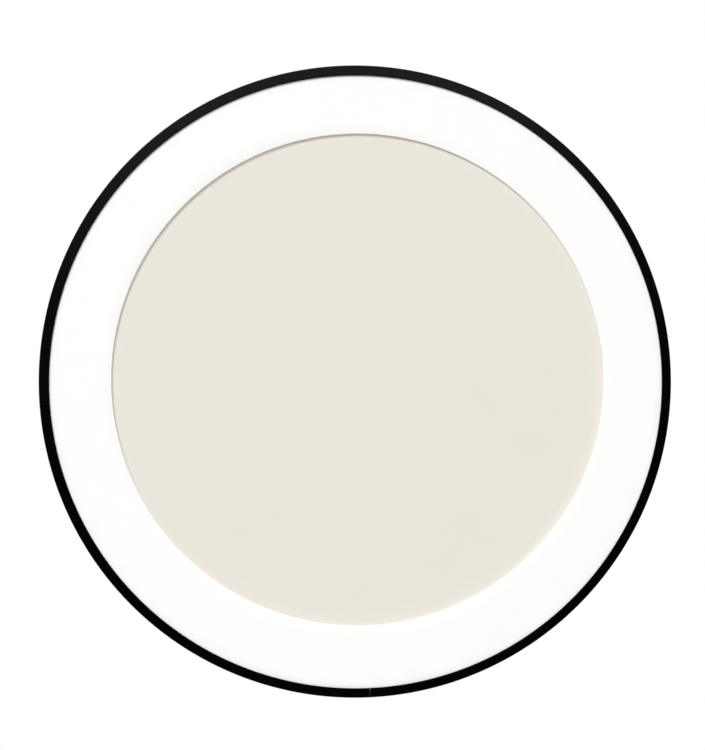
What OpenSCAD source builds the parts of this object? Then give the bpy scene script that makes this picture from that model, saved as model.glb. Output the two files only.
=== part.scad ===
// Round wall photo frame: rolled metal rim, clear pane, mat, insert sheet, hardboard back with turning clips and a ring hanger.
// Millimetres. X is right, Z is up, the front looks along -Y. The origin is where a wall hook carries the hanger ring.

/* [Rim] */
// Outside diameter of the rim
rim_outer_d = 306; // [240:1:420]
// Depth of the rim from front to back
rim_depth = 18; // [17:0.5:30]
// Thickness of the rim's outer wall
wall_t = 1.0; // [0.8:0.1:1.6]
// Depth of the groove inside the wall, from the locating band to the wall
groove_depth = 1.7; // [1.5:0.1:2.6]
// How far the front lip covers the pane's edge
lip_cover = 1.8; // [1:0.1:4]
// Thickness of the front lip at its inner edge
lip_t = 0.7; // [0.7:0.1:2]
// How far the front face falls back from its inner edge to its outer edge
face_fall = 0.6; // [0.2:0.1:0.9]
// Edge radius at the outside of the front face
outer_edge_r = 0.45; // [0.2:0.05:0.5]
// Edge radius at the inside of the front face
inner_edge_r = 0.25; // [0.1:0.05:0.4]
// Edge radius at the outside of the rear face
rear_edge_r = 0.3; // [0.1:0.05:0.5]
// How far the locating band reaches back past the insert sheet
band_past = 0.85; // [0.3:0.05:1.5]
// Thickness of the inner web and of the rear flange
web_t = 1.2; // [0.8:0.1:1.5]
// Thickness of the two small lips that keep the joint strip in its channel
keeper_t = 0.6; // [0.4:0.05:0.8]
// Length of those lips from front to back
keeper_w = 1.2; // [0.6:0.1:1.6]

/* [Rim joint] */
// Place of the butt joint, in degrees clockwise from the top
joint_angle = 177.2; // [160:0.1:200]
// Width of the saw cut left between the rim's two ends
joint_gap = 0.05; // [0.03:0.01:0.3]
// Lean of the saw cut off the rim's axis in degrees, so that no light shows through it
joint_lean = 1.5; // [0.5:0.5:3]
// Width of the notch that the two broken edges make in the face, at the inside of the lip
notch_w = 0.8; // [0.3:0.1:1.2]
// Depth of that notch, which runs out where the face falls back below it
notch_d = 0.55; // [0.2:0.05:0.6]
// Length of the joint strip along its outside
strip_len = 64; // [40:1:100]
// Play of the joint strip under the keeper lips
strip_play = 0.1; // [0.05:0.05:0.2]
// Play at the joint strip's two long edges
strip_side_play = 0.1; // [0.05:0.05:0.3]

/* [Sheets] */
// Play between the sheets' edges and the locating band
sheet_play = 0.3; // [0.2:0.05:0.8]
// Thickness of the clear pane
pane_t = 0.6; // [0.5:0.1:3]
// Thickness of the mat
mat_t = 2.2; // [1.2:0.1:3]
// Thickness of the insert sheet
insert_t = 0.25; // [0.1:0.05:0.6]
// Thickness of the hardboard back
back_t = 3.0; // [2.6:0.1:4]
// Width of the mat from its edge to the window
mat_margin = 30.95; // [15:0.05:70]
// How far the window sits to the right of the mat's centre
window_right = 1.15; // [-3:0.05:3]
// How far the window sits above the mat's centre
window_up = 1.0; // [-3:0.05:3]

/* [Turning clips] */
// Distance from the back's edge to a clip's pivot
pivot_inset = 11; // [10.5:0.5:16]
// Place of the first clip, in degrees clockwise from the top
first_clip_angle = 30; // [20:1:40]
// Thickness of a clip
clip_t = 1.0; // [0.8:0.1:1.4]
// Width of a clip
clip_w = 10; // [8:0.5:12]
// Gap from a clip's tip to the rim's wall
tip_gap = 0.4; // [0.2:0.1:0.6]
// Play between a clip and the rim's inner web
clip_play = 0.1; // [0.05:0.05:0.4]
// Distance from a clip's pivot to the outside of its finger tab
tab_reach = 9; // [7:0.5:9.2]
// Height of the finger tab above the clip's front side
tab_h = 5; // [3:0.5:7]
// Inside radius of the finger tab's bend
bend_r = 0.5; // [0.3:0.1:1]

/* [Rivets] */
// Shank diameter of the rivets
rivet_d = 3.0; // [2.4:0.1:3.6]
// Diameter of a rivet's head
rivet_head_d = 6.0; // [5:0.1:7]
// Height of a rivet's head
rivet_head_h = 1.0; // [0.7:0.1:1.4]
// Running play between a rivet's shank and the hole around it, on the radius
rivet_play = 0.05; // [0.02:0.01:0.1]
// Diameter of a rivet's foot in the front of the back
rivet_foot_d = 6.4; // [5:0.1:7]
// Thickness of a rivet's foot
rivet_foot_t = 0.7; // [0.5:0.1:1]
// Depth that a rivet's foot lies below the back's front face
foot_sink = 0.05; // [0.05:0.05:0.2]
// Play around a rivet's foot, on the radius
foot_play = 0.2; // [0.1:0.05:0.4]

/* [Hanger] */
// Distance from the back's top edge down to the ring's pivot bar
hanger_drop = 38; // [32:1:60]
// Wire diameter of the ring
wire_d = 2.0; // [1.6:0.1:2.4]
// Radius of the ring's arch to the wire's centre line
arch_r = 10; // [9.5:0.5:13]
// Height of the ring from its bar to the arch's top, to the wire's centre lines
ring_h = 15; // [13.5:0.5:18]
// Bend radius of the ring's lower corners, to the wire's centre line
corner_r = 2.5; // [2:0.1:3]
// Sheet thickness of the strap
strap_t = 0.8; // [0.6:0.1:1]
// Width of the strap
strap_w = 12; // [9:0.5:13]
// Running play of the ring's bar in the strap, on the radius
bar_play = 0.05; // [0.02:0.01:0.1]
// Distance from the ring's bar to the strap's lower end
strap_leg = 21; // [19.5:0.5:28]
// Distance from the ring's bar to the upper rivet
hanger_rivet_drop = 8.5; // [7.5:0.1:11]
// Distance between the two rivets
hanger_rivet_pitch = 8; // [7.5:0.1:9]

/* [Hidden] */
$fn = 96;
ring_fn = 240;
past = 1;
clip_count = 6;
edge_steps = 3;

outer_r = rim_outer_d / 2;
wall_r = outer_r - wall_t;
band_r = wall_r - groove_depth;
sheet_r = band_r - sheet_play;
window_r = sheet_r - mat_margin;
lip_r = sheet_r - lip_cover;
face_slope = atan(face_fall / (outer_r - lip_r));
notch_half = notch_w / 2 * (notch_d + past) / notch_d;

pane_y = lip_t;
mat_y = pane_y + pane_t;
insert_y = mat_y + mat_t;
back_y = insert_y + insert_t;
rear_y = back_y + back_t;
band_end_y = back_y + band_past;
clip_rear_y = rear_y + clip_t;
web_y = clip_rear_y + clip_play;
channel_y = web_y + web_t;
flange_y = rim_depth - web_t;

keeper_r = band_r + keeper_t;
strip_in_r = keeper_r + strip_play;
strip_angle = strip_len / wall_r * 180 / PI;

pivot_r = sheet_r - pivot_inset;
clip_reach = wall_r - tip_gap - pivot_r;

rivet_r = rivet_d / 2;
hole_r = rivet_r + rivet_play;
foot_y = back_y + foot_sink;
foot_seat = foot_sink + rivet_foot_t;

wire_r = wire_d / 2;
loop_in_r = wire_r + bar_play;
loop_out_r = loop_in_r + strap_t;
bar_y = rear_y + loop_out_r;
bar_z = sheet_r - hanger_drop;
bar_half = arch_r - corner_r;
arch_z = bar_z + ring_h - arch_r;
legs_rear_y = rear_y + 2 * strap_t;
hook_z = bar_z + ring_h - wire_r;

// Frame centre to the row's origin at the hook.
module placed() translate([0, -bar_y, -hook_z]) children();

// A flat outline in X and Z, from y0 towards the back.
module slab(y0, t) translate([0, y0 + t, 0]) rotate([90, 0, 0]) linear_extrude(t) children();

// An outline in Y and Z, drawn out along X and centred.
module along_x(w) translate([-w / 2, 0, 0]) rotate([90, 0, 90]) linear_extrude(w) children();

// A section of radius and depth, turned about the frame's axis.
module ringed() rotate([-90, 0, 0]) rotate_extrude($fn = ring_fn) children();

// Puts something made at the top to an angle clockwise from the top.
module at_angle(a) rotate([0, a, 0]) children();

function rounded(cx, cy, r, a0, a1) =
  [for (i = [0 : edge_steps]) let (a = a0 + (a1 - a0) * i / edge_steps) [cx + r * cos(a), cy + r * sin(a)]];

function face_offset(r) = r / cos(face_slope);

// Section of the rim: radius, then depth from the front.
function rim_section() = concat(
  rounded(lip_r + inner_edge_r, inner_edge_r * tan(face_slope) + face_offset(inner_edge_r),
    inner_edge_r, 180, 270 + face_slope),
  rounded(outer_r - outer_edge_r, face_fall - outer_edge_r * tan(face_slope) + face_offset(outer_edge_r),
    outer_edge_r, 270 + face_slope, 360),
  rounded(outer_r - rear_edge_r, rim_depth - rear_edge_r, rear_edge_r, 0, 90),
  [[band_r, rim_depth], [band_r, flange_y - keeper_w], [keeper_r, flange_y - keeper_w],
   [keeper_r, flange_y], [wall_r, flange_y], [wall_r, channel_y], [keeper_r, channel_y],
   [keeper_r, channel_y + keeper_w], [band_r, channel_y + keeper_w], [band_r, web_y],
   [wall_r, web_y], [wall_r, band_end_y], [band_r, band_end_y], [band_r, lip_t], [lip_r, lip_t]]);

module rim() {
  color("#1b1b1c") placed() difference() {
    ringed() polygon(rim_section());
    at_angle(joint_angle) translate([0, 0, lip_r - past]) joint_cut(outer_r - lip_r + 2 * past);
  }
}

// What the saw and the file take away between the rim's two ends, over a height in Z.
module joint_cut(h) {
  rotate([0, 0, -joint_lean]) translate([-joint_gap / 2, -past, 0])
    cube([joint_gap, rim_depth + 2 * past, h]);
  linear_extrude(h) polygon([[-notch_half, -past], [notch_half, -past], [0, notch_d]]);
}

module splice_strip() {
  color("#b9bcbf") placed() at_angle(joint_angle - 90) rotate([-90, 0, 0])
    rotate([0, 0, -strip_angle / 2]) rotate_extrude(angle = strip_angle, $fn = ring_fn)
      translate([strip_in_r, channel_y + strip_side_play])
        square([wall_r - strip_in_r, flange_y - channel_y - 2 * strip_side_play]);
}

module glazing() {
  color("#dfe9ea", 0.35) placed() slab(pane_y, pane_t) circle(r = sheet_r, $fn = ring_fn);
}

module mat_board() {
  color("#fbfbf8") placed() slab(mat_y, mat_t) difference() {
    circle(r = sheet_r, $fn = ring_fn);
    translate([window_right, window_up]) circle(r = window_r, $fn = ring_fn);
  }
}

module insert_sheet() {
  color("#eae5db") placed() slab(insert_y, insert_t) circle(r = sheet_r, $fn = ring_fn);
}

// The places of the clips' pivots and of the hanger's rivets, in X and Z.
module at_clip_pivots() for (i = [0 : clip_count - 1])
  at_angle(first_clip_angle + i * 360 / clip_count) translate([0, 0, pivot_r]) children();

module at_hanger_rivets() for (i = [0, 1])
  translate([0, 0, bar_z - hanger_rivet_drop - i * hanger_rivet_pitch]) children();

module backing_board() {
  color("#8a6442") placed() difference() {
    slab(back_y, back_t) circle(r = sheet_r, $fn = ring_fn);
    at_clip_pivots() rivet_hole();
    at_hanger_rivets() rivet_hole();
  }
}

module rivet_hole() {
  slab(back_y - past, back_t + 2 * past) circle(r = hole_r);
  slab(back_y - past, foot_seat + past) circle(r = rivet_foot_d / 2 + foot_play);
}

// A rivet whose head bears on the plane at seat_y.
module rivet(seat_y) {
  rotate([-90, 0, 0]) rotate_extrude() polygon([[0, foot_y], [rivet_foot_d / 2, foot_y],
    [rivet_foot_d / 2, foot_y + rivet_foot_t], [rivet_r, foot_y + rivet_foot_t], [rivet_r, seat_y],
    [rivet_head_d / 2, seat_y], [rivet_head_d / 2, seat_y + rivet_head_h * 0.35],
    [rivet_head_d * 0.42, seat_y + rivet_head_h * 0.75], [rivet_head_d * 0.25, seat_y + rivet_head_h],
    [0, seat_y + rivet_head_h]]);
}

// One clip with its pivot on the frame's axis, tip up.
module clip_shape() {
  slab(rear_y, clip_t) difference() {
    intersection() {
      circle(r = clip_reach);
      translate([-clip_w / 2, clip_t + bend_r - tab_reach])
        square([clip_w, clip_reach + tab_reach]);
    }
    circle(r = hole_r);
  }
  along_x(clip_w) {
    translate([clip_rear_y + bend_r, clip_t + bend_r - tab_reach]) intersection() {
      difference() {
        circle(r = clip_t + bend_r);
        circle(r = bend_r);
      }
      translate([-clip_t - bend_r, -clip_t - bend_r]) square(clip_t + bend_r);
    }
    translate([clip_rear_y + bend_r, -tab_reach]) square([tab_h - clip_t - bend_r, clip_t]);
  }
}

module turn_clip(i) {
  color("#c3c6c8") placed() at_angle(first_clip_angle + (i - 1) * 360 / clip_count)
    translate([0, 0, pivot_r]) clip_shape();
}

module turn_clip_1() { turn_clip(1); }
module turn_clip_2() { turn_clip(2); }
module turn_clip_3() { turn_clip(3); }
module turn_clip_4() { turn_clip(4); }
module turn_clip_5() { turn_clip(5); }
module turn_clip_6() { turn_clip(6); }

module clip_rivets() {
  color("#a9acae") placed() at_clip_pivots() rivet(clip_rear_y);
}

// The strap is one sheet, folded round the ring's bar with both legs on the back.
module hanger_strap() {
  color("#c3c6c8") placed() difference() {
    along_x(strap_w) {
      translate([bar_y, bar_z]) intersection() {
        difference() {
          circle(r = loop_out_r);
          circle(r = loop_in_r);
        }
        translate([-loop_out_r, 0]) square([2 * loop_out_r, loop_out_r]);
      }
      translate([rear_y, bar_z - strap_leg]) square([strap_t, strap_leg]);
      polygon([[bar_y + loop_in_r, bar_z], [bar_y + loop_in_r, bar_z - 0.6 * loop_out_r],
        [rear_y + strap_t, bar_z - 2.6 * loop_out_r], [rear_y + strap_t, bar_z - strap_leg],
        [legs_rear_y, bar_z - strap_leg], [legs_rear_y, bar_z - 2.4 * loop_out_r],
        [bar_y + loop_out_r, bar_z - 0.5 * loop_out_r], [bar_y + loop_out_r, bar_z]]);
    }
    at_hanger_rivets() slab(rear_y - past, 2 * strap_t + 2 * past) circle(r = hole_r);
  }
}

module hanger_rivets() {
  color("#a9acae") placed() at_hanger_rivets() rivet(legs_rear_y);
}

// A quarter bend of the ring's wire: centre x and z, bend radius, first angle.
module wire_bend(x, z, r, a0, a) {
  translate([x, bar_y, z]) rotate([90, 0, 0]) rotate([0, 0, a0])
    rotate_extrude(angle = a) translate([r, 0]) circle(r = wire_r, $fn = 32);
}

module hanger_ring() {
  color("#c3c6c8") placed() {
    wire_bend(0, arch_z, arch_r, 0, 180);
    for (s = [-1, 1]) translate([s * arch_r, bar_y, bar_z + corner_r])
      cylinder(h = arch_z - bar_z - corner_r, r = wire_r, $fn = 32);
    wire_bend(-bar_half, bar_z + corner_r, corner_r, 180, 90);
    wire_bend(bar_half, bar_z + corner_r, corner_r, 270, 90);
    translate([-bar_half, bar_y, bar_z]) rotate([0, 90, 0])
      cylinder(h = 2 * bar_half, r = wire_r, $fn = 32);
  }
}

rim();
splice_strip();
glazing();
mat_board();
insert_sheet();
backing_board();
turn_clip_1();
turn_clip_2();
turn_clip_3();
turn_clip_4();
turn_clip_5();
turn_clip_6();
clip_rivets();
hanger_strap();
hanger_rivets();
hanger_ring();
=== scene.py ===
import math

import bmesh
import bpy
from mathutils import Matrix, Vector


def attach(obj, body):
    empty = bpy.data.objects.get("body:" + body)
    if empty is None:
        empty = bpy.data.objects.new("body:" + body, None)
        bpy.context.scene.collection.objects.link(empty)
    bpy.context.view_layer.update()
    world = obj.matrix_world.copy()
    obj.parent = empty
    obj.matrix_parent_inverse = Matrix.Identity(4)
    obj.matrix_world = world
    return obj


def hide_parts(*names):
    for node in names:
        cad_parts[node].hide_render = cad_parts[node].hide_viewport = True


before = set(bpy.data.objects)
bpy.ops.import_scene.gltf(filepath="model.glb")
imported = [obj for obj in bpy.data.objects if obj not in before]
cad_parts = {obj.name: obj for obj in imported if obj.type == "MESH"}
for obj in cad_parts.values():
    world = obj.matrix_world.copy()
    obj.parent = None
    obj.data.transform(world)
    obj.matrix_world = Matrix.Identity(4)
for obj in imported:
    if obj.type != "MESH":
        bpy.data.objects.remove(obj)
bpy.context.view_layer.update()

MM = 0.001

# Sizes in millimetres, measured from the frame's centre and its front plane. Angles are in degrees.
HOOK_Y, HOOK_Z = 8.6, 126.0  # the hook's point, where the row frame has its origin

# Rim: its radii from the outside in, its section front to rear, and its joint.
OUTER_R, WALL_R, KEEPER_R, BAND_R, LIP_R = 153.0, 152.0, 150.9, 150.3, 148.2
LIP_OFFSET = (0.28, -0.16)  # X and Z: the rolled lip's opening stands a little off centre
RIM_DEPTH, LIP_T, FACE_FALL = 18.0, 0.7, 0.6
BAND_END_Y = 4.6
WEB_Y, WEB_T = 7.85, 1.2
CHANNEL_Y, FLANGE_Y = WEB_Y + WEB_T, RIM_DEPTH - WEB_T
KEEPER_W = 1.2
JOINT_ANGLE, JOINT_GAP, JOINT_LEAN = 177.2, 0.05, 1.5
NOTCH_W, NOTCH_D = 0.8, 0.55
STRIP_LEN = 64.0

# Sheets, front to rear, and the mat's window.
SHEET_R = 150.0
PANE_Y, PANE_T = 0.7, 0.6
MAT_Y, MAT_T = 1.3, 2.2
INSERT_Y, INSERT_T = 3.5, 0.25
BACK_Y, BACK_T = 3.75, 3.0
REAR_Y = BACK_Y + BACK_T
WINDOW_R, WINDOW_X, WINDOW_Z = 119.05, 1.15, 1.0

# Clips and rivets
PIVOT_R = 139.0
CLIP_ANGLES = [30 + 60 * i for i in range(6)]
CLIP_T, CLIP_W = 1.0, 10.0
CLIP_REACH, TAB_REACH, TAB_H, BEND_R = 12.6, 9.0, 5.0, 0.5
RIVET_R, RIVET_HEAD_R, RIVET_HEAD_H = 1.5, 3.0, 1.0
FOOT_R, FOOT_T, FOOT_SINK = 3.2, 0.7, 0.05

# Hanger
STRAP_T, STRAP_W, STRAP_LEG = 0.8, 12.0, 21.0
WIRE_R, ARCH_R, RING_H, CORNER_R = 1.0, 10.0, 15.0, 2.5
LOOP_R = WIRE_R + 0.05
BAR_Z = SHEET_R - 38.0
HANGER_RIVET_Z = (BAR_Z - 8.5, BAR_Z - 16.5)

# Between sheets that lie on each other, so that their faces don't coincide.
FACE_AIR = 0.02
# A rounding's own points end this far along the flat beside it, so that smooth shading stays on the rounding.
SUPPORT = 0.05
# How far the tools that cut the joint reach past the rim.
CUT_PAST = 1.0
# How far a clip's tip and its tab's end stay inside the solid clip.
INSIDE = 0.02

RIM_SEGMENTS, SHEET_SEGMENTS, PAPER_SEGMENTS = 600, 512, 360

# Light and floor: strength of the even light, grey of the dark room in gloss, glow of the floor as the camera
# sees it, how far in mm the floor lies under the rim, and its radius in metres.
AMBIENT = 0.485
ROOM_DARK = 0.02
FLOOR_LIFT = 0.5
FLOOR_DROP = 1100
FLOOR_R = 1.95


# Meshes

def to_row(x, y, z):
    """A point in mm from the frame's centre and front plane, in the row frame in metres."""
    return Vector((x, y - HOOK_Y, z - HOOK_Z)) * MM


def new_piece(name, verts, faces, materials, body, face_slots=None, smooth=35.0):
    me = bpy.data.meshes.new(name)
    me.from_pydata([tuple(v) for v in verts], [], faces)
    me.validate()
    me.update()
    ob = bpy.data.objects.new(name, me)
    bpy.context.scene.collection.objects.link(ob)
    for m in materials:
        me.materials.append(m)
    if face_slots:
        for p, s in zip(me.polygons, face_slots):
            p.material_index = s
    if smooth:
        me.shade_smooth()
        me.set_sharp_from_angle(angle=math.radians(smooth))
    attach(ob, body)
    return ob


def apply_modifiers(ob):
    """Keeps what the modifiers make as the piece's own mesh."""
    dg = bpy.context.evaluated_depsgraph_get()
    me = bpy.data.meshes.new_from_object(ob.evaluated_get(dg))
    old = ob.data
    ob.modifiers.clear()
    ob.data = me
    bpy.data.meshes.remove(old)
    me.name = ob.name


def rounded(cx, cy, r, a0, a1, n):
    """Points of an arc between two angles in degrees."""
    return [(cx + r * math.cos(math.radians(a0 + (a1 - a0) * i / n)),
             cy + r * math.sin(math.radians(a0 + (a1 - a0) * i / n))) for i in range(n + 1)]


def round_corner(before, corner, after, r, n):
    """The arc of n steps that rounds a corner of an outline, given the corners beside it."""
    p = Vector(corner)
    a = (before - p).normalized()
    b = (after - p).normalized()
    half = a.angle(b) / 2
    reach = r / math.tan(half)
    centre = p + (a + b).normalized() * (r / math.sin(half))
    start, end = p + a * reach - centre, p + b * reach - centre
    turn = math.atan2(start.x * end.y - start.y * end.x, start.dot(end))
    arc = []
    for k in range(n + 1):
        t = turn * k / n
        arc.append(Vector((centre.x + start.x * math.cos(t) - start.y * math.sin(t),
                           centre.y + start.x * math.sin(t) + start.y * math.cos(t))))
    return arc


def clockwise(angle, r):
    """X and Z of a radius at an angle clockwise from the top, in degrees."""
    a = math.radians(angle)
    return r * math.sin(a), r * math.cos(a)


def ring_piece(name, circles, segments, materials, body, slots=None, smooth=35.0):
    """A closed ring. circles are (centre x, centre z, radius, y) in order round its section."""
    verts, faces, face_slots = [], [], []
    n = len(circles)
    for k in range(segments):
        for cx, cz, r, y in circles:
            x, z = clockwise(360 * k / segments, r)
            verts.append(to_row(cx + x, y, cz + z))
    for k in range(segments):
        a, b = k * n, ((k + 1) % segments) * n
        for i in range(n):
            j = (i + 1) % n
            faces.append((a + i, b + i, b + j, a + j))
            face_slots.append(slots[i] if slots else 0)
    return new_piece(name, verts, faces, materials, body, face_slots, smooth)


def disc_piece(name, rim_points, segments, materials, body, edge_slot=0):
    """A flat disc whose edge follows rim_points (radius, y), front first, in the material edge_slot."""
    rings = 6
    y0, y1 = rim_points[0][1], rim_points[-1][1]
    r0, r1 = rim_points[0][0], rim_points[-1][0]
    section = [(r0 * i / rings, y0) for i in range(1, rings)] + rim_points \
        + [(r1 * i / rings, y1) for i in range(rings - 1, 0, -1)]
    verts, faces, face_slots = [], [], []
    n = len(section)
    for k in range(segments):
        for r, y in section:
            x, z = clockwise(360 * k / segments, r)
            verts.append(to_row(x, y, z))
    front, back = len(verts), len(verts) + 1
    verts += [to_row(0, y0, 0), to_row(0, y1, 0)]
    for k in range(segments):
        a, b = k * n, ((k + 1) % segments) * n
        for i in range(n - 1):
            faces.append((a + i, b + i, b + i + 1, a + i + 1))
            on_edge = rings - 1 <= i < rings - 1 + len(rim_points) - 1
            face_slots.append(edge_slot if on_edge else 0)
        faces.append((front, b, a))
        faces.append((back, a + n - 1, b + n - 1))
        face_slots += [0, 0]
    return new_piece(name, verts, faces, materials, body, face_slots)


def sweep_tube(name, path, radius, sides, material, body, cap_r=0.12):
    """A round wire along an open path in mm, with its two ends slightly rounded."""
    pts = [Vector(p) for p in path]
    verts, faces = [], []
    frames = []
    for i, p in enumerate(pts):
        t = (pts[min(i + 1, len(pts) - 1)] - pts[max(i - 1, 0)]).normalized()
        side = Vector((0, 1, 0))
        up = t.cross(side).normalized()
        frames.append((p, t, side, up, radius))
    first, last = frames[0], frames[-1]
    frames[0] = (first[0] + first[1] * cap_r, *first[1:])
    frames[-1] = (last[0] - last[1] * cap_r, *last[1:])
    frames.insert(0, (first[0], *first[1:4], radius - cap_r))
    frames.append((last[0], *last[1:4], radius - cap_r))
    for p, t, side, up, r in frames:
        for s in range(sides):
            a = 2 * math.pi * s / sides
            verts.append(to_row(*(p + side * (r * math.cos(a)) + up * (r * math.sin(a)))))
    for i in range(len(frames) - 1):
        for s in range(sides):
            q = (s + 1) % sides
            faces.append((i * sides + s, i * sides + q, (i + 1) * sides + q, (i + 1) * sides + s))
    faces.append(tuple(reversed(range(sides))))
    faces.append(tuple((len(frames) - 1) * sides + s for s in range(sides)))
    return new_piece(name, verts, faces, [material], body)


def sheet_strip(name, path, half_width, across, thickness, material, body, place):
    """Sheet metal along a path of (y, z) points at mid thickness, with a half width at each point."""
    verts, faces = [], []
    n = across + 1
    for (y, z), w in zip(path, half_width):
        for k in range(n):
            verts.append(place(w * (2 * k / across - 1), y, z))
    for i in range(len(path) - 1):
        for k in range(across):
            a = i * n + k
            faces.append((a, a + 1, a + n + 1, a + n))
    ob = new_piece(name, verts, faces, [material], body, smooth=None)
    solid = ob.modifiers.new("thick", "SOLIDIFY")
    solid.thickness = thickness * MM
    solid.offset = 0
    solid.use_even_offset = True
    edge = ob.modifiers.new("edge", "BEVEL")
    edge.width = 0.14 * MM
    edge.segments = 2
    edge.limit_method = "ANGLE"
    edge.angle_limit = math.radians(50)
    apply_modifiers(ob)
    ob.data.shade_smooth()
    ob.data.set_sharp_from_angle(angle=math.radians(35))
    return ob


# Materials

def material(name, rough=0.5, metal=0.0, specular=0.5):
    m = bpy.data.materials.new(name)
    m.use_nodes = True
    b = m.node_tree.nodes["Principled BSDF"]
    b.inputs["Roughness"].default_value = rough
    b.inputs["Metallic"].default_value = metal
    b.inputs["Specular IOR Level"].default_value = specular
    return m, m.node_tree, b


def coords(nt):
    return nt.nodes.new("ShaderNodeTexCoord").outputs["Object"]


def noise(nt, vector, scale, detail=4.0, rough=0.55, squash=None):
    if squash:
        mp = nt.nodes.new("ShaderNodeMapping")
        mp.inputs["Scale"].default_value = squash
        nt.links.new(vector, mp.inputs["Vector"])
        vector = mp.outputs["Vector"]
    n = nt.nodes.new("ShaderNodeTexNoise")
    n.inputs["Scale"].default_value = scale
    n.inputs["Detail"].default_value = detail
    n.inputs["Roughness"].default_value = rough
    nt.links.new(vector, n.inputs["Vector"])
    return n.outputs["Fac"]


def ramp(nt, fac, stops):
    r = nt.nodes.new("ShaderNodeValToRGB")
    e = r.color_ramp.elements
    while len(e) < len(stops):
        e.new(0.5)
    for el, (pos, col) in zip(e, stops):
        el.position = pos
        el.color = (*col, 1.0)
    nt.links.new(fac, r.inputs["Fac"])
    return r.outputs["Color"]


def spread(nt, fac, lo, hi, at=(0.35, 0.65)):
    r = nt.nodes.new("ShaderNodeMapRange")
    r.inputs["From Min"].default_value, r.inputs["From Max"].default_value = at
    r.inputs["To Min"].default_value, r.inputs["To Max"].default_value = lo, hi
    nt.links.new(fac, r.inputs["Value"])
    return r.outputs["Result"]


def bump(nt, b, height, strength, distance, after=None):
    n = nt.nodes.new("ShaderNodeBump")
    n.inputs["Strength"].default_value = strength
    n.inputs["Distance"].default_value = distance
    nt.links.new(height, n.inputs["Height"])
    if after:
        nt.links.new(after, n.inputs["Normal"])
    nt.links.new(n.outputs["Normal"], b.inputs["Normal"])
    return n.outputs["Normal"]


def mix_colour(nt, fac, a, b):
    """a and b are sockets or colours."""
    m = nt.nodes.new("ShaderNodeMix")
    m.data_type = "RGBA"
    for key, v in (("A", a), ("B", b)):
        s = [i for i in m.inputs if i.name == key and i.type == "RGBA"][0]
        if isinstance(v, tuple):
            s.default_value = (*v, 1.0)
        else:
            nt.links.new(v, s)
    nt.links.new(fac, m.inputs[0])
    return [o for o in m.outputs if o.type == "RGBA"][0]


def powder_coat():
    """Satin black powder coat: a fine orange peel and a slightly uneven sheen."""
    m, nt, b = material("satin_black_coat", rough=0.32, specular=0.05)
    at = coords(nt)
    speck = noise(nt, at, 5200, detail=2)
    nt.links.new(ramp(nt, speck, [(0.3, (0.0003, 0.00032, 0.00033)), (0.7, (0.0006, 0.00063, 0.00064))]),
                 b.inputs["Base Color"])
    nt.links.new(spread(nt, noise(nt, at, 60, detail=5), 0.305, 0.335), b.inputs["Roughness"])
    peel = bump(nt, b, noise(nt, at, 1400, detail=3), 0.35, 0.00003)
    bump(nt, b, noise(nt, at, 6500, detail=1), 0.2, 0.000008, after=peel)
    return m


def raw_aluminium():
    """The sawn ends of the rim, with saw marks across the wall."""
    m, nt, b = material("sawn_aluminium", rough=0.4, metal=1.0)
    at = coords(nt)
    marks = noise(nt, at, 900, detail=3, squash=(1.0, 0.12, 1.0))
    nt.links.new(ramp(nt, marks, [(0.3, (0.2, 0.2, 0.205)), (0.7, (0.3, 0.3, 0.31))]),
                 b.inputs["Base Color"])
    nt.links.new(spread(nt, marks, 0.34, 0.5), b.inputs["Roughness"])
    bump(nt, b, marks, 0.4, 0.00004)
    return m


def clear_plastic():
    """Clear plastic: lets light straight through and mirrors a little, more at a glancing angle."""
    m = bpy.data.materials.new("clear_pane")
    m.use_nodes = True
    nt = m.node_tree
    nt.nodes.remove(nt.nodes["Principled BSDF"])
    out = nt.nodes["Material Output"]
    clear = nt.nodes.new("ShaderNodeBsdfTransparent")
    clear.inputs["Color"].default_value = (0.993, 0.996, 0.994, 1)
    gloss = nt.nodes.new("ShaderNodeBsdfGlossy")
    gloss.inputs["Roughness"].default_value = 0.02
    facing = nt.nodes.new("ShaderNodeLayerWeight")
    facing.inputs["Blend"].default_value = 0.5
    # Schlick's curve: the mirrored share is 0.035 straight on and nearly all at a glancing angle.
    power = nt.nodes.new("ShaderNodeMath")
    power.operation = "POWER"
    power.inputs[1].default_value = 5
    nt.links.new(facing.outputs["Facing"], power.inputs[0])
    share = nt.nodes.new("ShaderNodeMath")
    share.operation = "MULTIPLY_ADD"
    share.inputs[1].default_value = 0.9
    share.inputs[2].default_value = 0.035
    nt.links.new(power.outputs[0], share.inputs[0])
    mix = nt.nodes.new("ShaderNodeMixShader")
    nt.links.new(share.outputs[0], mix.inputs["Fac"])
    nt.links.new(clear.outputs[0], mix.inputs[1])
    nt.links.new(gloss.outputs[0], mix.inputs[2])
    nt.links.new(mix.outputs[0], out.inputs["Surface"])
    return m


def pane_rim():
    """The pane's cut edge: frosted plastic."""
    m, nt, b = material("frosted_pane_edge", rough=0.5)
    at = coords(nt)
    grit = noise(nt, at, 3000, detail=3)
    nt.links.new(ramp(nt, grit, [(0.3, (0.56, 0.59, 0.6)), (0.7, (0.68, 0.71, 0.72))]),
                 b.inputs["Base Color"])
    bump(nt, b, grit, 0.4, 0.00003)
    return m


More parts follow.
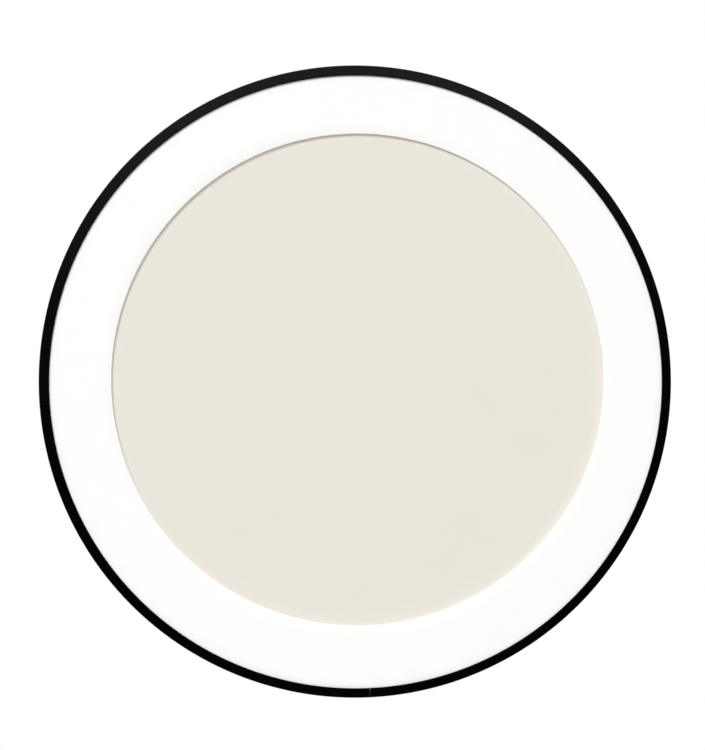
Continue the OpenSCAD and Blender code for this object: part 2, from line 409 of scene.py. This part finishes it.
def mat_paper():
    """White mat board face: smooth, with the faint cloud and tooth of cotton paper."""
    m, nt, b = material("mat_face", rough=0.9, specular=0.25)
    at = coords(nt)
    cloud = noise(nt, at, 90, detail=6, rough=0.6)
    nt.links.new(ramp(nt, cloud, [(0.3, (0.925, 0.914, 0.906)), (0.7, (0.934, 0.923, 0.915))]),
                 b.inputs["Base Color"])
    nt.links.new(spread(nt, cloud, 0.86, 0.94), b.inputs["Roughness"])
    tooth = bump(nt, b, noise(nt, at, 2600, detail=5, rough=0.65), 0.2, 0.00003)
    bump(nt, b, noise(nt, at, 700, detail=3, squash=(1, 1, 0.35)), 0.15, 0.00004, after=tooth)
    return m


def mat_core():
    """The cut through the mat board: layered pulp, a little greyer than the face."""
    m, nt, b = material("mat_core", rough=0.95, specular=0.2)
    at = coords(nt)
    layers = noise(nt, at, 1500, detail=4, squash=(0.15, 1.0, 0.15))
    nt.links.new(ramp(nt, layers, [(0.3, (0.87, 0.87, 0.865)), (0.7, (0.925, 0.925, 0.92))]),
                 b.inputs["Base Color"])
    bump(nt, b, layers, 0.5, 0.00005)
    return m


def insert_paper():
    """Uncoated warm beige paper with a fine felt-side texture and a few fibres."""
    m, nt, b = material("beige_paper", rough=0.88, specular=0.25)
    at = coords(nt)
    cloud = noise(nt, at, 45, detail=7, rough=0.62)
    base = ramp(nt, cloud, [(0.3, (0.777, 0.731, 0.671)), (0.7, (0.787, 0.741, 0.681))])
    fibre = noise(nt, at, 1900, detail=4, rough=0.7, squash=(1.0, 1.0, 0.22))
    flecks = spread(nt, fibre, 0.0, 0.5, at=(0.62, 0.74))
    nt.links.new(mix_colour(nt, flecks, base, (0.74, 0.69, 0.6)), b.inputs["Base Color"])
    nt.links.new(spread(nt, cloud, 0.84, 0.92), b.inputs["Roughness"])
    felt = bump(nt, b, noise(nt, at, 1300, detail=5, rough=0.6), 0.3, 0.00004)
    bump(nt, b, fibre, 0.2, 0.00002, after=felt)
    return m


def hardboard():
    """Brown hardboard: fine wood fibres, pale and dark, lying every way in a pressed face."""
    m, nt, b = material("hardboard", rough=0.66, specular=0.3)
    at = coords(nt)
    cloud = noise(nt, at, 24, detail=7, rough=0.62)
    base = ramp(nt, cloud, [(0.3, (0.155, 0.08, 0.042)), (0.7, (0.215, 0.118, 0.062))])
    grit = noise(nt, at, 2400, detail=3, rough=0.6)
    base = mix_colour(nt, spread(nt, grit, 0.0, 0.4, at=(0.45, 0.75)), base, (0.1, 0.05, 0.027))
    relief = None
    # Direction in degrees, scale, how rare the fibres are, and their colour.
    fibres = [(12, 1150, 0.585, (0.37, 0.235, 0.14)), (71, 1000, 0.6, (0.33, 0.205, 0.12)),
              (133, 1250, 0.59, (0.4, 0.265, 0.165)), (38, 900, 0.6, (0.06, 0.03, 0.017)),
              (104, 950, 0.6, (0.07, 0.035, 0.02)), (162, 850, 0.61, (0.055, 0.028, 0.016))]
    for k, (turn, scale, rare, shade) in enumerate(fibres):
        lie = nt.nodes.new("ShaderNodeMapping")
        lie.inputs["Rotation"].default_value = (0.0, math.radians(turn), 0.0)
        lie.inputs["Location"].default_value = (0.37 * k, 0.0, 0.21 * k)
        nt.links.new(at, lie.inputs["Vector"])
        fibre = noise(nt, lie.outputs["Vector"], scale, detail=3, rough=0.65, squash=(1.0, 1.0, 0.16))
        base = mix_colour(nt, spread(nt, fibre, 0.0, 0.55, at=(rare, rare + 0.13)), base, shade)
        if k in (0, 3):
            relief = bump(nt, b, fibre, 0.25, 0.00006, after=relief)
    nt.links.new(base, b.inputs["Base Color"])
    nt.links.new(spread(nt, cloud, 0.58, 0.72), b.inputs["Roughness"])
    bump(nt, b, grit, 0.3, 0.00003, after=relief)
    return m


def zinc(name, tint, squash):
    """Zinc-plated steel: cool grey with drawn lines, a soft spangle and a few duller patches."""
    m, nt, b = material(name, rough=0.3, metal=1.0)
    at = coords(nt)
    lines = noise(nt, at, 1800, detail=3, squash=squash)
    cloud = noise(nt, at, 260, detail=5, rough=0.6)
    dark = tuple(c * 0.78 for c in tint)
    nt.links.new(ramp(nt, cloud, [(0.35, dark), (0.62, tint)]), b.inputs["Base Color"])
    dull = nt.nodes.new("ShaderNodeMath")
    dull.operation = "MULTIPLY_ADD"
    dull.inputs[1].default_value = -0.16
    nt.links.new(cloud, dull.inputs[0])
    nt.links.new(spread(nt, lines, 0.29, 0.41), dull.inputs[2])
    nt.links.new(dull.outputs[0], b.inputs["Roughness"])
    scratch = bump(nt, b, lines, 0.3, 0.00003)
    bump(nt, b, cloud, 0.2, 0.00005, after=scratch)
    return m


COAT = powder_coat()
SAWN = raw_aluminium()
PANE = clear_plastic()
PANE_EDGE = pane_rim()
MAT_FACE = mat_paper()
MAT_CORE = mat_core()
PAPER = insert_paper()
BOARD = hardboard()
ZINC = zinc("zinc_plate", (0.64, 0.65, 0.67), (1.0, 1.0, 0.08))
STRIP_STEEL = zinc("strip_steel", (0.5, 0.51, 0.53), (0.1, 1.0, 0.4))
RIVET_ALU = zinc("rivet_aluminium", (0.6, 0.6, 0.61), (1.0, 1.0, 1.0))


# Rim

def rim_section():
    """Section of the rim as (radius, y), inside front first, with every edge rounded."""
    # Radius, y, the corner's rounding and its steps.
    corners = [
        (LIP_R, 0.0, 0.35, 8), (OUTER_R, FACE_FALL, 0.45, 8), (OUTER_R, RIM_DEPTH, 0.3, 5),
        (BAND_R, RIM_DEPTH, 0.18, 3), (BAND_R, FLANGE_Y - KEEPER_W, 0.14, 3),
        (KEEPER_R, FLANGE_Y - KEEPER_W, 0.1, 2), (KEEPER_R, FLANGE_Y, 0.1, 2),
        (WALL_R, FLANGE_Y, 0.2, 3), (WALL_R, CHANNEL_Y, 0.2, 3), (KEEPER_R, CHANNEL_Y, 0.1, 2),
        (KEEPER_R, CHANNEL_Y + KEEPER_W, 0.1, 2), (BAND_R, CHANNEL_Y + KEEPER_W, 0.14, 3),
        (BAND_R, WEB_Y, 0.15, 3), (WALL_R, WEB_Y, 0.2, 3), (WALL_R, BAND_END_Y, 0.2, 3),
        (BAND_R, BAND_END_Y, 0.15, 3), (BAND_R, LIP_T, 0.1, 2), (LIP_R, LIP_T, 0.1, 2),
    ]
    out = []
    for i, (radius, y, rounding, steps) in enumerate(corners):
        before = Vector(corners[i - 1][:2])
        after = Vector(corners[(i + 1) % len(corners)][:2])
        arc = round_corner(before, (radius, y), after, rounding, steps)
        out.append(arc[0] + (before - arc[0]).normalized() * SUPPORT)
        out += arc
        out.append(arc[-1] + (after - arc[-1]).normalized() * SUPPORT)
    return [tuple(point) for point in out]


def joint_cutter(name, outline, r0, r1):
    """A prism along the radius at the joint; outline gives (tangential, y) points."""
    a = math.radians(JOINT_ANGLE)
    verts = []
    for r in (r0, r1):
        for x, y in outline:
            verts.append(to_row(x * math.cos(a) + r * math.sin(a), y, -x * math.sin(a) + r * math.cos(a)))
    n = len(outline)
    faces = [tuple(range(n)), tuple(2 * n - 1 - i for i in range(n))]
    faces += [(i, n + i, n + (i + 1) % n, (i + 1) % n) for i in range(n)]
    me = bpy.data.meshes.new(name)
    me.from_pydata([tuple(v) for v in verts], [], faces)
    me.materials.append(SAWN)
    ob = bpy.data.objects.new(name, me)
    bpy.context.scene.collection.objects.link(ob)
    bm = bmesh.new()
    bm.from_mesh(me)
    bmesh.ops.recalc_face_normals(bm, faces=bm.faces)
    bm.to_mesh(me)
    bm.free()
    return ob


def make_rim():
    """One full ring, sawn apart at the joint; the cut runs askew, and its edges at the face are broken."""
    lip_end = (LIP_R + BAND_R) / 2
    circles = [(*(LIP_OFFSET if r < lip_end else (0.0, 0.0)), r, y) for r, y in rim_section()]
    ob = ring_piece("rim_ring", circles, RIM_SEGMENTS, [COAT, SAWN], "frame", smooth=30)
    lean = math.tan(math.radians(JOINT_LEAN))
    half = JOINT_GAP / 2
    y0, y1 = -CUT_PAST, RIM_DEPTH + CUT_PAST
    slit = [(-half + y0 * lean, y0), (half + y0 * lean, y0), (half + y1 * lean, y1), (-half + y1 * lean, y1)]
    saw = joint_cutter("saw", slit, LIP_R - CUT_PAST, OUTER_R + CUT_PAST)
    w = NOTCH_W / 2 * (NOTCH_D + CUT_PAST) / NOTCH_D
    notch = joint_cutter("notch", [(-w, y0), (w, y0), (0.0, NOTCH_D)], LIP_R - CUT_PAST, OUTER_R + CUT_PAST)
    for tool in (saw, notch):
        cut = ob.modifiers.new(tool.name, "BOOLEAN")
        cut.operation, cut.solver, cut.object = "DIFFERENCE", "EXACT", tool
        cut.material_mode = "TRANSFER"
    apply_modifiers(ob)
    for tool in (saw, notch):
        bpy.data.objects.remove(tool)
    ob.data.shade_smooth()
    ob.data.set_sharp_from_angle(angle=math.radians(30))
    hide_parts("rim")


def make_splice():
    """The joint strip in the rear channel, its edges rolled and four stake marks pressed into it."""
    half = math.degrees(STRIP_LEN / WALL_R) / 2
    y0, y1 = CHANNEL_Y + 0.1, FLANGE_Y - 0.1
    r_in, r_out = KEEPER_R + 0.1, WALL_R - 0.01
    steps, across = 160, 24
    stakes = [half * share for share in (-0.72, -0.3, 0.3, 0.72)]
    stake_r, stake_depth = 1.3, 0.35
    burr_r, burr_width, burr_height = 1.5, 0.3, 0.06
    verts, faces = [], []
    section_n = 2 * (across + 1)
    for k in range(steps + 1):
        a = -half + 2 * half * k / steps
        for inner, r in ((True, r_in), (False, r_out)):
            order = range(across + 1) if inner else range(across, -1, -1)
            for i in order:
                y = y0 + (y1 - y0) * i / across
                rr = r
                for stake in stakes if inner else []:
                    d = math.hypot(math.radians(a - stake) * WALL_R, y - (y0 + y1) / 2)
                    rr += stake_depth * max(0.0, 1 - (d / stake_r) ** 2)
                    rr -= burr_height * math.exp(-((d - burr_r) / burr_width) ** 2)
                x, z = clockwise(JOINT_ANGLE + a, rr)
                verts.append(to_row(x, y, z))
    for k in range(steps):
        a, b = k * section_n, (k + 1) * section_n
        for i in range(section_n):
            j = (i + 1) % section_n
            faces.append((a + i, a + j, b + j, b + i))
    faces.append(tuple(reversed(range(section_n))))
    faces.append(tuple(steps * section_n + i for i in range(section_n)))
    ob = new_piece("joint_strip", verts, faces, [STRIP_STEEL], "frame", smooth=35)
    edge = ob.modifiers.new("edge", "BEVEL")
    edge.width, edge.segments = 0.1 * MM, 2
    edge.limit_method, edge.angle_limit = "ANGLE", math.radians(60)
    apply_modifiers(ob)
    ob.data.set_sharp_from_angle(angle=math.radians(35))
    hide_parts("splice_strip")


# Sheets

def make_pane():
    chamfer = 0.3
    y0, y1 = PANE_Y + FACE_AIR, PANE_Y + PANE_T - FACE_AIR
    pane = disc_piece("clear_pane", [(SHEET_R - chamfer, y0), (SHEET_R, y0 + chamfer),
                                     (SHEET_R, y1 - chamfer), (SHEET_R - chamfer, y1)],
                      SHEET_SEGMENTS, [PANE, PANE_EDGE], "frame", edge_slot=1)
    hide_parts("glazing")


def make_mat():
    """The mat as one closed ring: its front face, outer edge, rear face and the window's cut edge."""
    soft = 0.1
    y0, y1 = MAT_Y, MAT_Y + MAT_T - FACE_AIR
    circles, slots = [], []

    def add(cx, cz, r, y, s):
        circles.append((cx, cz, r, y))
        slots.append(s)

    rings = 6
    for i in range(rings):
        t = i / rings
        r = WINDOW_R + soft + (SHEET_R - 2 * soft - WINDOW_R) * t
        add(WINDOW_X * (1 - t), WINDOW_Z * (1 - t), r, y0, 0)
    add(0, 0, SHEET_R - soft, y0, 0)
    add(0, 0, SHEET_R, y0 + soft, 1)
    add(0, 0, SHEET_R, y1 - soft, 1)
    add(0, 0, SHEET_R - soft, y1, 0)
    add(WINDOW_X, WINDOW_Z, WINDOW_R + 0.05, y1, 1)
    add(WINDOW_X, WINDOW_Z, WINDOW_R, y1 - 0.06, 1)
    add(WINDOW_X, WINDOW_Z, WINDOW_R, y0 + soft, 0)
    add(WINDOW_X, WINDOW_Z, WINDOW_R + 0.03, y0 + 0.03, 0)
    mat = ring_piece("mat_ring", circles, SHEET_SEGMENTS, [MAT_FACE, MAT_CORE], "frame", slots)
    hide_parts("mat_board")


def make_insert():
    soft, y0, y1 = 0.05, INSERT_Y, INSERT_Y + INSERT_T - FACE_AIR
    sheet = disc_piece("insert_paper", [(SHEET_R - 0.03, y0), (SHEET_R, y0 + soft),
                                        (SHEET_R, y1 - soft), (SHEET_R - 0.03, y1)],
                       PAPER_SEGMENTS, [PAPER], "frame")
    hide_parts("insert_sheet")


def dress_board():
    """The back keeps its solid and gets only its material."""
    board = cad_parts["backing_board"]
    board.data.materials.clear()
    board.data.materials.append(BOARD)


# Rivets, clips and hanger

def rivet_section(seat):
    """Pop rivet: foot in the board's front, shank, domed head with the hollow that the pulled stem left."""
    foot = BACK_Y + FOOT_SINK
    top = seat + RIVET_HEAD_H
    side_h, crown_r = 0.25, 1.0
    pts = [(0.0, foot), (FOOT_R - 0.1, foot), (FOOT_R, foot + 0.1), (FOOT_R, foot + FOOT_T - 0.1),
           (FOOT_R - 0.1, foot + FOOT_T), (RIVET_R, foot + FOOT_T), (RIVET_R, seat),
           (RIVET_HEAD_R - 0.08, seat), (RIVET_HEAD_R, seat + 0.08), (RIVET_HEAD_R, seat + side_h)]
    for i in range(1, 11):
        a = math.radians(90 * i / 10)
        r = RIVET_HEAD_R - (RIVET_HEAD_R - crown_r) * (1 - math.cos(a))
        pts.append((r, seat + side_h + (RIVET_HEAD_H - side_h) * math.sin(a)))
    pts += [(0.86, top - 0.02), (0.8, top - 0.1), (0.78, top - 0.75), (0.7, top - 0.8),
            (0.35, top - 0.72), (0.0, top - 0.66)]
    return pts


def make_rivets(name, node, places, seat):
    """One piece of several rivets; seat is the y on which their heads sit."""
    verts, faces = [], []
    section = rivet_section(seat)
    sides = 56
    for px, pz in places:
        base = len(verts)
        n = len(section) - 2
        for k in range(sides):
            a = 2 * math.pi * k / sides
            for r, y in section[1:-1]:
                verts.append(to_row(px + r * math.sin(a), y, pz + r * math.cos(a)))
        verts += [to_row(px, section[0][1], pz), to_row(px, section[-1][1], pz)]
        front, back = len(verts) - 2, len(verts) - 1
        for k in range(sides):
            a, b = base + k * n, base + ((k + 1) % sides) * n
            for i in range(n - 1):
                faces.append((a + i, b + i, b + i + 1, a + i + 1))
            faces.append((front, b, a))
            faces.append((back, a + n - 1, b + n - 1))
    ob = new_piece(name, verts, faces, [RIVET_ALU], "frame", smooth=40)
    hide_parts(node)


def clip_path():
    """Mid-thickness path of a clip in (y, z) about its pivot, with the half width at each point."""
    mid = REAR_Y + CLIP_T / 2
    path, widths = [], []
    half = CLIP_W / 2
    steps = 26
    corner = 1.1
    tail = -(TAB_REACH - CLIP_T - BEND_R)
    for i in range(steps + 1):
        t = i / steps
        z = CLIP_REACH - INSIDE - (CLIP_REACH - tail) * t ** 1.35
        w = min(half, math.sqrt(max(0.04, CLIP_REACH ** 2 - z ** 2)))
        path.append((mid, z))
        widths.append(w)
    r = BEND_R + CLIP_T / 2
    cy, cz = REAR_Y + CLIP_T + BEND_R, tail
    for i in range(1, 9):
        a = math.radians(90 * i / 8)
        path.append((cy - r * math.cos(a), cz - r * math.sin(a)))
        widths.append(half)
    y_end = REAR_Y + TAB_H + CLIP_T - INSIDE
    z_tab = cz - r
    for i in range(1, 13):
        y = cy + (y_end - cy) * (1 - (1 - i / 12) ** 1.6)
        left = y_end - y
        w = half if left > corner else half - corner + math.sqrt(max(0.0, corner ** 2 - (corner - left) ** 2))
        path.append((y, z_tab))
        widths.append(w)
    return path, widths


def make_clip(i, angle):
    """One turning clip at its rest, pointing outward at an angle clockwise from the top."""
    path, widths = clip_path()
    a = math.radians(angle)
    px, pz = clockwise(angle, PIVOT_R)

    def place(x, y, z):
        return to_row(px + x * math.cos(a) + z * math.sin(a), y, pz - x * math.sin(a) + z * math.cos(a))

    ob = sheet_strip(f"clip_plate_{i}", path, widths, 12, CLIP_T, ZINC, f"clip_{i}", place)
    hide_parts(f"turn_clip_{i}")


def make_strap():
    """The folded strap: up the back, round the ring's bar, and down over its own front leg."""
    mid = STRAP_T / 2
    bar_y = REAR_Y + LOOP_R + STRAP_T
    r = LOOP_R + mid
    front, rear = REAR_Y + mid, REAR_Y + STRAP_T + mid
    corner, half = 2.2, STRAP_W / 2
    bottom = BAR_Z - STRAP_LEG
    rise = corner * 1.6  # the rounded end's points lie closer together up to here
    path = []
    for i in range(16):
        path.append((front, bottom + rise * (i / 15) ** 1.3))
    for i in range(1, 8):
        path.append((front, bottom + rise + (BAR_Z - bottom - rise) * i / 7))
    for i in range(1, 17):
        a = math.radians(180 * i / 16)
        path.append((bar_y - r * math.cos(a), BAR_Z + r * math.sin(a)))
    # From the loop the strap steps in, until its rear leg lies on the front one.
    loop_out = LOOP_R + STRAP_T
    path += [(bar_y + r, BAR_Z - 0.3 * loop_out), (bar_y + r - 0.04, BAR_Z - 0.5 * loop_out),
             (bar_y + r - 0.2, BAR_Z - 0.75 * loop_out), (rear + 0.2, BAR_Z - 2.3 * loop_out),
             (rear + 0.04, BAR_Z - 2.5 * loop_out), (rear, BAR_Z - 2.75 * loop_out)]
    top = BAR_Z - 2.75 * loop_out
    for i in range(1, 8):
        path.append((rear, top + (bottom + rise - top) * i / 7))
    for i in range(14, -1, -1):
        path.append((rear, bottom + rise * (i / 15) ** 1.3))
    widths = []
    for y, z in path:
        left = z - bottom
        flat = y in (front, rear)
        if flat and left < corner:
            widths.append(half - corner + math.sqrt(max(0.0, corner ** 2 - (corner - left) ** 2)))
        else:
            widths.append(half)
    ob = sheet_strip("hanger_plate", path, widths, 12, STRAP_T - 0.01, ZINC, "frame", to_row)
    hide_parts("hanger_strap")


def make_ring():
    """A D of wire whose two ends meet, but for a small gap, in the strap's loop."""
    bar_y = REAR_Y + LOOP_R + STRAP_T
    arch_z = BAR_Z + RING_H - ARCH_R
    half = ARCH_R - CORNER_R
    gap = 0.12
    pts = [(gap, bar_y, BAR_Z), (half * 0.5, bar_y, BAR_Z)]
    for x, z in rounded(half, BAR_Z + CORNER_R, CORNER_R, -90, 0, 12):
        pts.append((x, bar_y, z))
    for x, z in rounded(0, arch_z, ARCH_R, 0, 180, 64):
        pts.append((x, bar_y, z))
    for x, z in rounded(-half, BAR_Z + CORNER_R, CORNER_R, 180, 270, 12):
        pts.append((x, bar_y, z))
    pts += [(-half * 0.5, bar_y, BAR_Z), (-gap, bar_y, BAR_Z)]
    ob = sweep_tube("ring_wire", pts, WIRE_R, 28, ZINC, "hanger_ring")
    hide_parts("hanger_ring")


# Stage, lamps and camera

def make_stage():
    bpy.ops.mesh.primitive_circle_add(vertices=128, radius=FLOOR_R, fill_type="NGON",
                                      location=(0, 0, -(HOOK_Z + OUTER_R + FLOOR_DROP) * MM))
    floor = bpy.context.object
    floor.name = "floor"
    m, nt, b = material("floor_paper", rough=0.95, specular=0.1)
    nt.links.new(ramp(nt, noise(nt, coords(nt), 3), [(0.3, (0.9, 0.9, 0.9)), (0.7, (0.92, 0.92, 0.92))]),
                 b.inputs["Base Color"])
    # What the camera sees of the floor is as white as the world, and keeps the frame's shadow.
    path = nt.nodes.new("ShaderNodeLightPath")
    glow = nt.nodes.new("ShaderNodeEmission")
    glow.inputs["Strength"].default_value = FLOOR_LIFT
    dark = nt.nodes.new("ShaderNodeEmission")
    dark.inputs["Strength"].default_value = 0.0
    pick = nt.nodes.new("ShaderNodeMixShader")
    nt.links.new(path.outputs["Is Camera Ray"], pick.inputs["Fac"])
    nt.links.new(dark.outputs[0], pick.inputs[1])
    nt.links.new(glow.outputs[0], pick.inputs[2])
    add = nt.nodes.new("ShaderNodeAddShader")
    nt.links.new(b.outputs[0], add.inputs[0])
    nt.links.new(pick.outputs[0], add.inputs[1])
    nt.links.new(add.outputs[0], nt.nodes["Material Output"].inputs["Surface"])
    floor.data.materials.append(m)


def make_world():
    w = bpy.data.worlds.new("studio")
    bpy.context.scene.world = w
    w.use_nodes = True
    nt = w.node_tree
    bg = nt.nodes["Background"]
    out = nt.nodes["World Output"]
    bg.inputs["Color"].default_value = (1, 1, 1, 1)
    bg.inputs["Strength"].default_value = AMBIENT
    path = nt.nodes.new("ShaderNodeLightPath")
    white = nt.nodes.new("ShaderNodeBackground")
    white.inputs["Color"].default_value = (1, 1, 1, 1)
    white.inputs["Strength"].default_value = 1.0
    room = nt.nodes.new("ShaderNodeBackground")
    room.inputs["Strength"].default_value = 1.0
    # The room that gloss shows: dark in front, and behind the frame pale above and grey at eye level.
    tc = nt.nodes.new("ShaderNodeTexCoord")
    sep = nt.nodes.new("ShaderNodeSeparateXYZ")
    nt.links.new(tc.outputs["Generated"], sep.inputs[0])
    greys = [(0.0, 0.5), (0.4, 0.3), (0.52, 0.36), (0.66, 0.85), (1.0, 1.0)]
    height = ramp(nt, spread(nt, sep.outputs["Z"], 0, 1, at=(-1.0, 1.0)),
                  [(at, (grey, grey, grey)) for at, grey in greys])
    nt.links.new(mix_colour(nt, spread(nt, sep.outputs["Y"], 0, 1, at=(-0.6, 0.3)), (ROOM_DARK,) * 3, height),
                 room.inputs["Color"])
    shiny = nt.nodes.new("ShaderNodeMath")
    shiny.operation = "MAXIMUM"
    nt.links.new(path.outputs["Is Glossy Ray"], shiny.inputs[0])
    nt.links.new(path.outputs["Is Transmission Ray"], shiny.inputs[1])
    unseen = nt.nodes.new("ShaderNodeMixShader")
    nt.links.new(shiny.outputs[0], unseen.inputs["Fac"])
    nt.links.new(bg.outputs[0], unseen.inputs[1])
    nt.links.new(room.outputs[0], unseen.inputs[2])
    whole = nt.nodes.new("ShaderNodeMixShader")
    nt.links.new(path.outputs["Is Camera Ray"], whole.inputs["Fac"])
    nt.links.new(unseen.outputs[0], whole.inputs[1])
    nt.links.new(white.outputs[0], whole.inputs[2])
    nt.links.new(whole.outputs[0], out.inputs["Surface"])


def lamp(name, direction, distance, size, watts):
    data = bpy.data.lights.new(name, "AREA")
    data.shape = "DISK"
    data.size = size
    data.energy = watts
    ob = bpy.data.objects.new(name, data)
    bpy.context.scene.collection.objects.link(ob)
    d = Vector(direction).normalized()
    ob.location = to_row(0, 0, 0) + d * distance
    ob.rotation_mode = "QUATERNION"
    ob.rotation_quaternion = (-d).to_track_quat("-Z", "Y")


def make_camera():
    """Straight on, from far enough away that the rim shows no side, set to the photograph's frame."""
    data = bpy.data.cameras.new("camera")
    cam = bpy.data.objects.new("camera", data)
    bpy.context.scene.collection.objects.link(cam)
    far = 2000.0
    edge_y = 1.2  # where the rim's outline lies behind its front plane
    # The rim's outline in the photograph: radius in pixels, and centre in pixels from the top left corner.
    px_r, px_x, px_y = 316.15, 354.82, 381.58
    wide, high = 705, 750
    mm_per_px = OUTER_R / px_r
    data.sensor_width = 36.0
    data.lens = px_r * (far + edge_y) / OUTER_R * data.sensor_width / max(wide, high)
    cam.location = to_row((wide / 2 - px_x) * mm_per_px, -far, (px_y - high / 2) * mm_per_px)
    cam.rotation_euler = (math.radians(90), 0, 0)
    data.clip_start, data.clip_end = 0.05, 50
    bpy.context.scene.camera = cam


make_camera()
make_rim()
make_splice()
make_pane()
make_mat()
make_insert()
dress_board()
make_rivets("clip_rivet_set", "clip_rivets", [clockwise(a, PIVOT_R) for a in CLIP_ANGLES], REAR_Y + CLIP_T)
make_rivets("hanger_rivet_set", "hanger_rivets", [(0.0, z) for z in HANGER_RIVET_Z], REAR_Y + 2 * STRAP_T)
for number, angle in enumerate(CLIP_ANGLES, 1):
    make_clip(number, angle)
make_strap()
make_ring()
make_stage()
make_world()
lamp("key", direction=(-0.284, -0.823, 0.492), distance=8.0, size=3.6, watts=434)
lamp("sheen", direction=(0.14, -0.93, 0.345), distance=8.0, size=1.5, watts=84)

bpy.context.scene.view_settings.view_transform = "Standard"
